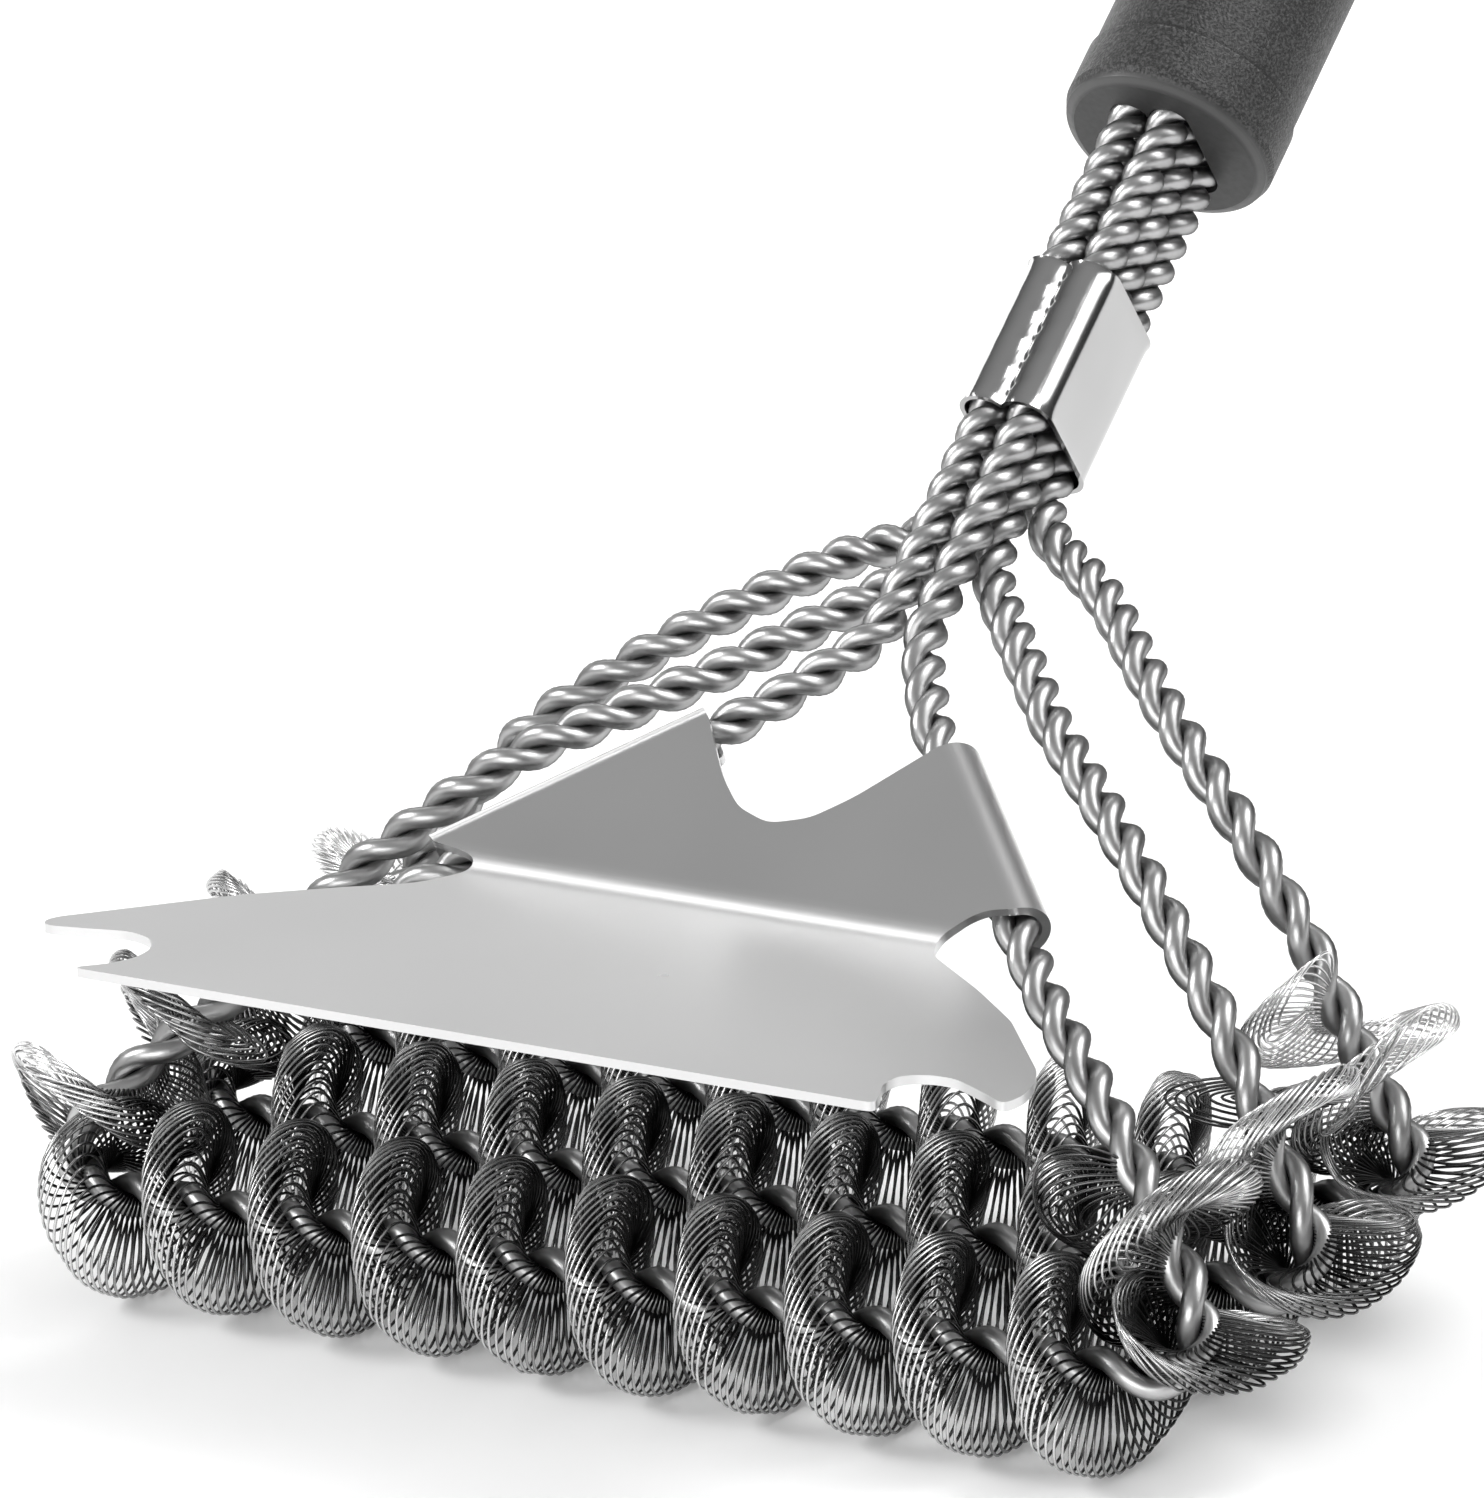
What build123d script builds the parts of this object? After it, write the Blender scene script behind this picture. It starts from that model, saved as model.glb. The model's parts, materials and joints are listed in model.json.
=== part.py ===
from build123d import *
import math
import os

# Triple-row grill cleaning brush: three U-shaped loops of twisted wire, each with a trapped wire
# coil, held by a crimped ferrule and a moulded handle, with a sheet scraper on the front loop.
# Millimetres, +Z up, handle rising towards +Y. The origin is under the middle of the whole brush,
# on the surface that the coils rest on.

# ---- driving dimensions -------------------------------------------------------------------
WIRE_D = 2.95            # one stiff wire
ROPE_R = WIRE_D          # two such wires, twisted, fill a circle of this radius
ROPE_STEP = 6.0          # centre distance of neighbouring ropes in the shaft
FIT_GAP = 0.05           # clearance between a rope and what holds it
OVERSIZE = 400.0         # longer than anything it cuts

ROW_SPACING = 30.6       # front row to middle row, and middle row to back row
COIL_R = 13.9            # outer radius of a coil
COIL_WAIST_R = 10.2      # its radius between two rings
RING_PITCH = 16.0
RINGS = 10
CORNER_X = 89.5          # where a row's line and its stem's line meet
CORNER_BEND_R = 6.0
LOBES = ((3.0, 13.9), (9.5, 17.0), (17.0, 13.0), (25.0, 10.0))  # past the row, radius
LOBE_T = 6.0
LOBE_EDGE_R = 2.4

SHAFT_ANGLE = 35.5       # slope of the shaft and handle, degrees
FACE_Y = 154.0           # centre of the handle's front face
FACE_Z = 121.5

FERRULE_START = 27.0     # down the shaft from the handle's face
FERRULE_LENGTH = 24.0
FERRULE_WALL = 0.9

GRIP_R = 14.7
COLLAR_R = 15.1
COLLAR_LENGTH = 9.5
GRIP_WALL = 2.6
GRIP_STATIONS = 18       # points along the grip's outline
SPIGOT_R = GRIP_R - GRIP_WALL - FIT_GAP  # what plugs into the grip's bore
SPIGOT_WALL = 1.8
SPIGOT_LENGTH = 5.0
SWELL_START = 60.0       # the grip's palm swell, up the shaft from the handle's face
SWELL_END = 230.0
SWELL_HEIGHT = 1.1
HANDLE_LENGTH = 256.0
CAP_LENGTH = 24.0
CAP_PLUG = 10.0          # how far the end cap reaches into the grip
FACE_T = 3.0
FACE_EDGE = ((0, 2.0), (0.7, 0.6), (2.2, 0))  # the face's rounded edge: back from it, in from the rim
SOCKET_GAP = 6.0         # from the collar to the socket inside the grip
SOCKET_LENGTH = 52.0
ROPE_DEPTH = 58.0        # how far the ropes reach into the handle
HANG_HOLE_R = 5.0
HANG_HOLE_AT = HANDLE_LENGTH - 11.0
HANG_TAB_T = 14.0
TAB_BOX = (24.0, 40.0, 20.0)  # the block shaved off each side of the hanging tab
TAB_BOX_AT = HANDLE_LENGTH - 7.0
# The end cap's outline: back from the handle's end, and in from the grip's radius.
CAP_OUTLINE = ((21.0, 0.0), (15.0, 0.8), (9.0, 2.6), (4.0, 5.4), (1.0, 9.2), (0.0, 13.0))

SHEET_T = 1.2            # scraper sheet
BLADE_FRONT_Y = -31.0
BLADE_FRONT_Z = 57.8
BEND_Y = 31.0
BEND_Z = 53.7
BEND_R = 8.0
TIP_X = 72.3             # the blade's widest points
TIP_Y = -16.0
FRONT_TIP_X = 58.0
EAR_GAP = 0.2            # between a stem and the ear wrapped round it
EAR_WRAP = 205.0         # how far an ear goes round its stem, degrees
NOTCH_R = 4.0            # the round slots in the blade's ends
SLOT_REACH = 20.0
END_SLOTS = ((-59.8, -16.5, 205.5), (60.0, -23.2, -60.0))  # x and y of the inner end, mouth's bearing
WAIST = [(57.5, 1.5), (38.5, 19.5), (36.8, 24.5)]  # the blade's way in to the waist
PLATE_EDGE = [(43.2, 35.5), (17.5, 60.5)]  # the plate's outer corners
TOP_NOTCH = [(13.0, 56.5), (4.0, 44.0)]  # the notch between the ears
WAIST_ROUND = 2.5
PLATE_LENGTH = 36.0      # past the bend
STRIP_HALF_WIDTH = 90.0
EAR_START = 0.12         # where an ear starts, as a part of the plate's side, and its length
EAR_LENGTH = 0.73
EAR_BEARING = 100.0      # where an ear leaves the plate, round its stem, degrees

# ---- shaft frame --------------------------------------------------------------------------
SLOPE = math.radians(SHAFT_ANGLE)
FACE = Vector(0, FACE_Y, FACE_Z)
AXIS = Vector(0, math.cos(SLOPE), math.sin(SLOPE))
NORMAL = Vector(0, -math.sin(SLOPE), math.cos(SLOPE))


def on_shaft(x, along, depth=0.0):
    """A point x to the right, so far up the shaft from the handle's face, and so far out in front."""
    return FACE + AXIS * along + NORMAL * depth + Vector(x, 0, 0)


def shaft_plane(along):
    """The plane across the shaft, with its local X to the right and its normal up the shaft."""
    return Plane(origin=on_shaft(0, along), x_dir=(1, 0, 0), z_dir=AXIS)


# ---- loops --------------------------------------------------------------------------------
ROWS = ("front", "middle", "back")
# Each right-hand stem from where it leaves the shaft down to the last point before its corner.
STEM_POINTS = {
    "front": [(11.5, 66, 69.3), (48, 30, 48.9), (66, 16.5, 38), (78, 8, 27)],
    "middle": [(25, 73.5, 69.0), (47, 55, 60), (66, 43, 44), (78.5, 35.6, 28.5)],
    "back": [(20, 98, 78), (37, 82.5, 69.5), (54, 72.5, 58), (65, 69, 45), (76, 65.2, 29)],
}
STEM_RADII = {
    "front": [24, 20, 30, 30],
    "middle": [40, 60, 30, 40],
    "back": [40, 60, 40, 24, 40],
}
LEAVE_SHAFT = {"front": -88.0, "middle": -71.0, "back": -59.0}
LEAVE_RADIUS = {"front": 14.0, "middle": 20.0, "back": 14.0}


def mirrored(point):
    """The same point on the brush's left."""
    return (-point[0], point[1], point[2])


def loop_path(row):
    """One rope's centre line: down the left stem, along the row and up the right stem."""
    index = ROWS.index(row)
    column = ROPE_STEP / 2
    depth = ROPE_STEP * (1 - index)
    top = tuple(on_shaft(column, ROPE_DEPTH, depth))
    leave = tuple(on_shaft(column, LEAVE_SHAFT[row], depth))
    corner = (CORNER_X, index * ROW_SPACING, COIL_R)
    right = [corner, *reversed(STEM_POINTS[row]), leave, top]
    left = [mirrored(point) for point in reversed(right)]
    radii = [CORNER_BEND_R, *reversed(STEM_RADII[row]), LEAVE_RADIUS[row]]
    return FilletPolyline(*left, *right, radius=[*reversed(radii), *radii])


def start_plane(path):
    """The plane across a path's start."""
    return Plane(origin=path @ 0, x_dir=(1, 0, 0), z_dir=path % 0)


def rope_envelope(path, radius):
    """The round space that a rope takes."""
    return sweep(start_plane(path) * Circle(radius), path=path)


def loop_wire(path, side):
    """One of the two wires of a rope, as the half of the rope's round section that it fills."""
    half = Circle(ROPE_R) & Pos(0, side * ROPE_R / 2) * Rectangle(2 * ROPE_R, ROPE_R)
    return sweep(start_plane(path) * half, path=path)


# ---- coils --------------------------------------------------------------------------------
def row_coil(row_y):
    """The outer shape of one row's coil: ten plump rings on the row's axis."""
    half = RINGS * RING_PITCH / 2
    rings = []
    for ring in range(RINGS):
        low = -half + ring * RING_PITCH
        rings.append(
            ThreePointArc(
                (low, COIL_WAIST_R), (low + RING_PITCH / 2, COIL_R), (low + RING_PITCH, COIL_WAIST_R)
            )
        )
    base = Polyline((half, COIL_WAIST_R), (half, 0), (-half, 0), (-half, COIL_WAIST_R))
    profile = make_face([*rings, base])
    return Pos(0, row_y, COIL_R) * revolve(profile, Axis.X, 360)


def corner_lobe(center, along, radius):
    """One flat fan of coil wire, square across the rope at this point."""
    disc = Cylinder(radius, LOBE_T)
    disc = fillet(disc.edges().filter_by(GeomType.CIRCLE), LOBE_EDGE_R)
    return Plane(origin=center, z_dir=along) * disc


def coil(row, path, envelope):
    """A row's coil, with its fans round both corners, bored for its rope and clear of the next row."""
    body = row_coil(ROWS.index(row) * ROW_SPACING)
    middle = path.length / 2
    half_row = RINGS * RING_PITCH / 2
    for side in (-1, 1):
        for step, radius in LOBES:
            at = (middle + side * (half_row + step)) / path.length
            body += corner_lobe(path @ at, path % at, radius)
    room = ROW_SPACING - 2 * FIT_GAP
    body &= Pos(0, ROWS.index(row) * ROW_SPACING - COIL_R + room / 2, 0) * Box(OVERSIZE, room, OVERSIZE)
    bored = body - envelope
    return bored.solids().sort_by(SortBy.VOLUME)[-1]


# ---- ferrule ------------------------------------------------------------------------------
def bundle_section(radius):
    """Two side-by-side columns of three ropes, as the section that a tight sleeve takes."""
    column = SlotCenterToCenter(2 * ROPE_STEP, 2 * radius, rotation=90)
    return Pos(-ROPE_STEP / 2, 0) * column + Pos(ROPE_STEP / 2, 0) * column


def ferrule():
    """A sheet sleeve crimped round the six ropes, creased between its two columns."""
    inner = ROPE_R + FIT_GAP
    ring = bundle_section(inner + FERRULE_WALL) - bundle_section(inner)
    return extrude(shaft_plane(-FERRULE_START - FERRULE_LENGTH) * ring, FERRULE_LENGTH)


# ---- scraper ------------------------------------------------------------------------------
def strip_side(offset):
    """One face of the scraper's bent side profile, so far above the sheet's middle."""
    blade = Vector(BLADE_FRONT_Y - BEND_Y, BLADE_FRONT_Z - BEND_Z).normalized()
    stem = STEM_POINTS["front"]
    plate = Vector(stem[0][1] - stem[1][1], stem[0][2] - stem[1][2]).normalized()
    bend = Vector(BEND_Y, BEND_Z)
    blade_up = Vector(-blade.Y, blade.X) * -1
    plate_up = Vector(-plate.Y, plate.X)
    corner = bend + (blade_up + plate_up) * (offset / (1 + blade_up.dot(plate_up)))
    front = Vector(BLADE_FRONT_Y, BLADE_FRONT_Z) + blade_up * offset
    top = bend + plate * PLATE_LENGTH + plate_up * offset
    return [front, corner, top]


def bent_strip():
    """The bent sheet, wider than the scraper, before its outline is cut."""
    upper = strip_side(SHEET_T / 2)
    lower = strip_side(-SHEET_T / 2)
    over = FilletPolyline(*upper, radius=BEND_R - SHEET_T / 2)
    under = FilletPolyline(*lower, radius=BEND_R + SHEET_T / 2)
    ends = [Line(upper[0], lower[0]), Line(upper[2], lower[2])]
    profile = make_face([over, under, *ends])
    return extrude(Plane.YZ * profile, STRIP_HALF_WIDTH, both=True)


def scraper_outline():
    """The scraper seen from above: a flared blade, a waist and a plate with a notch in its top."""
    tips = [(FRONT_TIP_X, BLADE_FRONT_Y - 1), (TIP_X, TIP_Y)]
    side = [*tips, *WAIST, *PLATE_EDGE, *TOP_NOTCH]
    outline = make_face(Polyline(*side, *[(-x, y) for x, y in reversed(side)], close=True))
    rounded = outline.vertices().filter_by_position(Axis.Y, WAIST[1][1] - 0.5, TOP_NOTCH[1][1] + 1)
    return fillet(rounded, WAIST_ROUND)


def ear(side):
    """A curl of the sheet round the front loop's stem, open on its inner side."""
    top = Vector(*STEM_POINTS["front"][0])
    low = Vector(*STEM_POINTS["front"][1])
    along = (low - top).normalized()
    across = along.cross(Vector(1, 0, 0)).normalized()
    if across.Z < 0:
        across = -across
    inner = ROPE_R + EAR_GAP
    ring = Circle(inner + SHEET_T) - Circle(inner)
    reach = 3 * (inner + SHEET_T)
    start = math.radians(EAR_BEARING)
    end = math.radians(EAR_BEARING - EAR_WRAP)
    middle = (start + end) / 2
    rim = [(reach * math.cos(angle), reach * math.sin(angle)) for angle in (start, middle, end)]
    wedge = make_face([ThreePointArc(*rim), Polyline(rim[2], (0, 0), rim[0])])
    sector = ring & wedge
    length = (low - top).length
    outward = across.cross(along)
    if outward.X < 0:
        outward = -outward
    origin = top + along * (EAR_START * length)
    section = Plane(origin=origin, x_dir=outward, z_dir=outward.cross(across))
    curl = extrude(section * sector, EAR_LENGTH * length, dir=along)
    if side < 0:
        curl = mirror(curl, Plane.YZ)
    return curl


def end_slots():
    """The two round-ended slots in the blade's ends that fit over a grate's rods."""
    slots = []
    for x, y, mouth in END_SLOTS:
        slot = Pos(SLOT_REACH / 2, 0) * SlotCenterToCenter(SLOT_REACH, 2 * NOTCH_R)
        slots.append(Pos(x, y, 0) * Rot(0, 0, mouth) * slot)
    return extrude(slots[0] + slots[1], OVERSIZE)


def scraper():
    """One bent sheet with two ears."""
    sheet = bent_strip() & extrude(scraper_outline(), OVERSIZE)
    sheet -= end_slots()
    return sheet + ear(1) + ear(-1)


# ---- handle -------------------------------------------------------------------------------
def turned(points, radii=None):
    """A body turned about the shaft from (distance up the shaft, radius) points."""
    section = make_face(Polyline(*[(radius, along) for along, radius in points], close=True))
    body = revolve(Plane.XZ * section, Axis.Z, 360)
    return shaft_plane(0) * body


def front_cap():
    """The smooth face and the collar, as one cup with an opening for the ropes."""
    plug_end = COLLAR_LENGTH + SPIGOT_LENGTH
    cup = turned(
        [
            (0, 0),
            *[(back, COLLAR_R - inset) for back, inset in FACE_EDGE],
            (COLLAR_LENGTH, COLLAR_R),
            (COLLAR_LENGTH, SPIGOT_R),
            (plug_end, SPIGOT_R),
            (plug_end, SPIGOT_R - SPIGOT_WALL),
            (FACE_T, SPIGOT_R - SPIGOT_WALL),
            (FACE_T, 0),
        ]
    )
    opening = extrude(shaft_plane(-1) * bundle_section(ROPE_R + FIT_GAP), FACE_T + 2)
    return cup - opening


def grip_radius(along):
    """The grip's outer radius: parallel behind the collar, then a slight palm swell."""
    if not SWELL_START < along < SWELL_END:
        return GRIP_R
    return GRIP_R + SWELL_HEIGHT * math.sin(math.pi * (along - SWELL_START) / (SWELL_END - SWELL_START))


def grip():
    """The hollow grip."""
    end = HANDLE_LENGTH - CAP_LENGTH
    outer = []
    for station in range(GRIP_STATIONS + 1):
        along = COLLAR_LENGTH + (end - COLLAR_LENGTH) * station / GRIP_STATIONS
        outer.append((along, grip_radius(along)))
    inner_r = GRIP_R - GRIP_WALL
    outline = Spline(*[(radius, along) for along, radius in outer])
    sides = Polyline((GRIP_R, end), (inner_r, end), (inner_r, COLLAR_LENGTH), (GRIP_R, COLLAR_LENGTH))
    section = make_face([outline, sides])
    return shaft_plane(0) * revolve(Plane.XZ * section, Axis.Z, 360)


def rope_socket():
    """The block inside the handle that grips the six rope ends."""
    start = COLLAR_LENGTH + SOCKET_GAP
    block = extrude(shaft_plane(start) * Circle(SPIGOT_R), SOCKET_LENGTH)
    hole_length = ROPE_DEPTH - start + FIT_GAP
    hole = extrude(shaft_plane(start) * bundle_section(ROPE_R + FIT_GAP), hole_length)
    return block - hole


def hang_cap():
    """The handle's closed end: a flattened tab with a hole to hang the brush by."""
    start = HANDLE_LENGTH - CAP_LENGTH
    plug = [(start - CAP_PLUG, 0), (start - CAP_PLUG, SPIGOT_R), (start, SPIGOT_R), (start, GRIP_R)]
    outline = [(HANDLE_LENGTH - back, GRIP_R - inset) for back, inset in CAP_OUTLINE]
    body = turned([*plug, *outline, (HANDLE_LENGTH, 0)])
    for side in (-1, 1):
        aside = side * (HANG_TAB_T + TAB_BOX[2]) / 2
        shave = Plane(origin=on_shaft(aside, TAB_BOX_AT), x_dir=AXIS, z_dir=(1, 0, 0))
        body -= shave * Box(*TAB_BOX)
    bore = Plane(origin=on_shaft(0, HANG_HOLE_AT), x_dir=AXIS, z_dir=(1, 0, 0))
    return body - bore * Cylinder(HANG_HOLE_R, 4 * GRIP_R)


# ---- the whole brush ----------------------------------------------------------------------
def build():
    """Every piece by its name, in one frame."""
    pieces = {}
    for row in ROWS:
        path = loop_path(row)
        pieces[f"{row}_loop_wire_a"] = loop_wire(path, 1)
        pieces[f"{row}_loop_wire_b"] = loop_wire(path, -1)
        pieces[f"{row}_coil"] = coil(row, path, rope_envelope(path, ROPE_R + FIT_GAP))
    pieces["ferrule"] = ferrule()
    pieces["scraper"] = scraper()
    pieces["front_cap"] = front_cap()
    pieces["grip"] = grip()
    pieces["rope_socket"] = rope_socket()
    pieces["hang_cap"] = hang_cap()
    return pieces


def main():
    os.makedirs("parts", exist_ok=True)
    pieces = build()
    boxes = [piece.bounding_box() for piece in pieces.values()]
    low_y = min(box.min.Y for box in boxes)
    high_y = max(box.max.Y for box in boxes)
    low_z = min(box.min.Z for box in boxes)
    to_origin = Pos(0, -(low_y + high_y) / 2, -low_z)
    print("moved by", to_origin.position)
    for name, piece in pieces.items():
        export_step(to_origin * piece, f"parts/{name}.step")
    hole = to_origin * Pos(on_shaft(0, HANG_HOLE_AT))
    print("hang hole centre", hole.position)


main()
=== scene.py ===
import json
import math

import bmesh
import bpy
import numpy as np
from mathutils import Matrix, Vector


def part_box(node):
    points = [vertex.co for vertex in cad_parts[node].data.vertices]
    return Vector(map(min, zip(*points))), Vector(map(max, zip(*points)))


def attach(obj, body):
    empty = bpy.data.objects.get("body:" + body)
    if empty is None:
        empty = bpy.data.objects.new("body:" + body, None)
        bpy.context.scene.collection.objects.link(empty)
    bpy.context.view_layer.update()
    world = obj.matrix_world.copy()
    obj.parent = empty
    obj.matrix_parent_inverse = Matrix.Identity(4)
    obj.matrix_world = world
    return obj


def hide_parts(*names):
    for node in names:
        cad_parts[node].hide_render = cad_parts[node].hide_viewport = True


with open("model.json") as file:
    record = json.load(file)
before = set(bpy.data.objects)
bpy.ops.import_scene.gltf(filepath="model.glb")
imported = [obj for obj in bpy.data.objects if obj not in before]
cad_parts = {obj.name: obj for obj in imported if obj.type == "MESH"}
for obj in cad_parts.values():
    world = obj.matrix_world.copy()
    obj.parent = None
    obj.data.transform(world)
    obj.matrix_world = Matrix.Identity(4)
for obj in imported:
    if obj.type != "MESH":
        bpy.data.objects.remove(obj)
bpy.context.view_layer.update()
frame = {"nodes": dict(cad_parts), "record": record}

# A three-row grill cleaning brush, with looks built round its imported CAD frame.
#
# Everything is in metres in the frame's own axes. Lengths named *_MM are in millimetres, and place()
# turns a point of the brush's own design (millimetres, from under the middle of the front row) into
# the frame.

MM = 0.001
BODY = "root"

# ---- the brush's own measures, millimetres ------------------------------------------------
WIRE_R_MM = 1.475
COIL_R_MM = 13.9
ROW_SPACING_MM = 30.6
RING_PITCH_MM = 16.0
CORNER_X_MM = 89.5
CORNER_BEND_MM = 6.0
ROPE_STEP_MM = 6.0
SHAFT_ANGLE = math.radians(35.5)
HANDLE_LENGTH_MM = 256.0
HANG_HOLE_FROM_END_MM = 11.0
ROPE_DEPTH_MM = 57.5

ROWS = ("front", "middle", "back")
STEM_POINTS = {
    "front": [(11.5, 66, 69.3), (48, 30, 48.9), (66, 16.5, 38), (78, 8, 27)],
    "middle": [(25, 73.5, 69.0), (47, 55, 60), (66, 43, 44), (78.5, 35.6, 28.5)],
    "back": [(20, 98, 78), (37, 82.5, 69.5), (54, 72.5, 58), (65, 69, 45), (76, 65.2, 29)],
}
STEM_RADII = {
    "front": [24, 20, 30, 30],
    "middle": [40, 60, 30, 40],
    "back": [40, 60, 40, 24, 40],
}
LEAVE_SHAFT = {"front": -88.0, "middle": -71.0, "back": -59.0}
LEAVE_RADIUS = {"front": 14.0, "middle": 20.0, "back": 14.0}
CORNER_HALF_PITCH_MM = {"front": 8.0, "middle": 8.7, "back": 6.9}

# ---- places that come from the frame ------------------------------------------------------
FRONT_ROW_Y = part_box("front_coil")[0][1] + COIL_R_MM * MM
HANG_HOLE = np.array(frame["record"]["mounts"][0]["pos_m"])
AXIS = np.array([0.0, math.cos(SHAFT_ANGLE), math.sin(SHAFT_ANGLE)])
NORMAL = np.array([0.0, -math.sin(SHAFT_ANGLE), math.cos(SHAFT_ANGLE)])
RIGHT = np.array([1.0, 0.0, 0.0])
FACE = HANG_HOLE - AXIS * (HANDLE_LENGTH_MM - HANG_HOLE_FROM_END_MM) * MM


def place(points):
    """Design points in millimetres as frame points in metres."""
    return np.asarray(points, float) * MM + np.array([0.0, FRONT_ROW_Y, 0.0])


def on_shaft(x, along, depth=0.0):
    """The frame point x to the right, along up the shaft from the handle's face and depth out in front."""
    return FACE + (RIGHT * x + AXIS * along + NORMAL * depth) * MM


# ---- camera, floor and light --------------------------------------------------------------
CAMERA_YAW = math.radians(31.67)
CAMERA_ELEVATION = math.radians(19.24)
CAMERA_ROLL = math.radians(-2.85)
CAMERA_DISTANCE = 1.364
CAMERA_TARGET = (23.4, 0.0, 88.8)
CAMERA_CLIP = (0.05, 20.0)
SENSOR_MM = 36.0
LENS_MM = 264.857143

FLOOR_HALF = 4.0
FLOOR_NOISE = 3.0
FLOOR_TONES = ((0.3, 0.90), (0.7, 0.92))
FLOOR_ROUGHNESS = 0.9
FLOOR_GLOW = 0.12
# Each soft box: its name, place, what it faces, size in metres and watts.
LIGHTS = (
    ("key", (-1.3, -1.0, 1.05), (0, -0.05, 0.05), (0.7, 0.7), 22),
    ("side_card", (1.20, 0.13, 1.02), (0, -0.05, 0.10), (0.6, 1.3), 7),
    ("top", (0.8, 0.6, 1.8), (0, 0, 0), (1.0, 1.0), 22),
    ("bend_strip", (-0.80, 0.94, 1.08), (0, 0, 0.05), (1.2, 0.18), 3.2),
    ("back_card", (-0.8, 1.5, 0.40), (0, 0, 0.05), (1.8, 0.8), 3.3),
    ("front_card", (0.15, -1.65, 0.42), (0, -0.05, 0.05), (1.4, 0.6), 14),
    ("left_card", (-1.5, 0.75, 0.38), (0, -0.05, 0.10), (0.9, 0.6), 4),
)
# The dome's grey from straight down, at 0, to straight up, at 1.
DOME_TONES = ((0.0, 0.4), (0.48, 0.04), (0.60, 0.08), (0.78, 0.24), (1.0, 0.46))


def add_camera():
    """A long lens from in front, above and to the right, aimed by rotation alone."""
    look = Vector(
        (
            -math.sin(CAMERA_YAW) * math.cos(CAMERA_ELEVATION),
            math.cos(CAMERA_YAW) * math.cos(CAMERA_ELEVATION),
            -math.sin(CAMERA_ELEVATION),
        )
    )
    level = Vector((math.cos(CAMERA_YAW), math.sin(CAMERA_YAW), 0.0))
    up = level.cross(look)
    right = level * math.cos(CAMERA_ROLL) + up * math.sin(CAMERA_ROLL)
    up = up * math.cos(CAMERA_ROLL) - level * math.sin(CAMERA_ROLL)
    data = bpy.data.cameras.new("camera")
    data.sensor_width = SENSOR_MM
    data.lens = LENS_MM
    data.clip_start, data.clip_end = CAMERA_CLIP
    camera = bpy.data.objects.new("camera", data)
    bpy.context.collection.objects.link(camera)
    spot = Vector(place(CAMERA_TARGET)) - look * CAMERA_DISTANCE
    turn = Matrix((right, up, -look)).transposed().to_4x4()
    camera.matrix_world = Matrix.Translation(spot) @ turn
    bpy.context.scene.camera = camera


def add_area(name, spot, aim, size, watts):
    """One soft box."""
    data = bpy.data.lights.new(name, "AREA")
    data.shape = "RECTANGLE"
    data.size, data.size_y = size
    data.energy = watts
    light = bpy.data.objects.new(name, data)
    bpy.context.collection.objects.link(light)
    light.location = spot
    light.rotation_euler = (Vector(aim) - Vector(spot)).to_track_quat("-Z", "Y").to_euler()


def add_world():
    """A studio dome: bright overhead, dark at the sides for contrast in the steel, grey below."""
    world = bpy.data.worlds.new("studio")
    bpy.context.scene.world = world
    world.use_nodes = True
    tree = world.node_tree
    background = tree.nodes["Background"]
    coordinates = tree.nodes.new("ShaderNodeTexCoord")
    separate = tree.nodes.new("ShaderNodeSeparateXYZ")
    tree.links.new(coordinates.outputs["Generated"], separate.inputs[0])
    height = spanned(tree, separate.outputs["Z"], -1.0, 1.0)
    tree.links.new(ramped(tree, height, DOME_TONES), background.inputs["Color"])
    background.inputs["Strength"].default_value = 1.0


def add_stage():
    """A pale floor, soft boxes and the dome."""
    mesh = bpy.data.meshes.new("floor")
    signs = ((-1, -1), (1, -1), (1, 1), (-1, 1))
    mesh.from_pydata([(x * FLOOR_HALF, y * FLOOR_HALF, 0) for x, y in signs], [], [(0, 1, 2, 3)])
    floor = bpy.data.objects.new("floor", mesh)
    bpy.context.collection.objects.link(floor)
    floor.data.materials.append(floor_material())
    for light in LIGHTS:
        add_area(*light)
    add_world()
    bpy.context.scene.view_settings.view_transform = "Standard"


# ---- materials ----------------------------------------------------------------------------
# Tones are (place, grey) pairs of painted shade on the fine wire. These run from a coil's axis to its rim,
# painted darkest at the axis, and from the floor up.
PAINTED_SHADE_CORE_TO_RIM = ((0.0, 0.01), (0.35, 0.02), (0.62, 0.10), (0.82, 0.36), (1.0, 0.96))
# Painted shade by height: darker at the very bottom by the floor, with a painted shadow of the scraper
# near the rings' tops.
PAINTED_SHADE_LOW_TO_HIGH = ((0.0, 0.40), (0.22, 0.95), (0.45, 0.95), (0.8, 0.50), (1.0, 0.95))
COIL_TOP_RADII = 2.2  # where PAINTED_SHADE_LOW_TO_HIGH ends, in coil radii above the floor
COIL_GRAIN = 300.0
COIL_GRAIN_TONES = ((0.3, 0.75), (0.7, 1.0))
COIL_ROUGHNESS = 0.27
# The front and middle coils get painted shade on the side that faces the next row, from the first distance
# behind the coil's axis to the second, and only where they are this far inside the corners.
PAINTED_SHADE_FRONT_TO_BACK = ((0.0, 1.0), (1.0, 0.16))
BEHIND_SPAN_MM = (-3, 4)
INSIDE_SPAN_MM = (3, 12)

WANDER_STOPS = (0.1, 0.9)  # where a steel's noise reaches its two tones
POLISH_SCALE = 2.3  # times the scale of the tone's noise, as BUMP_SCALE is
BUMP_SCALE = 9.0
BUMP_STRENGTH = 0.35

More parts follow.
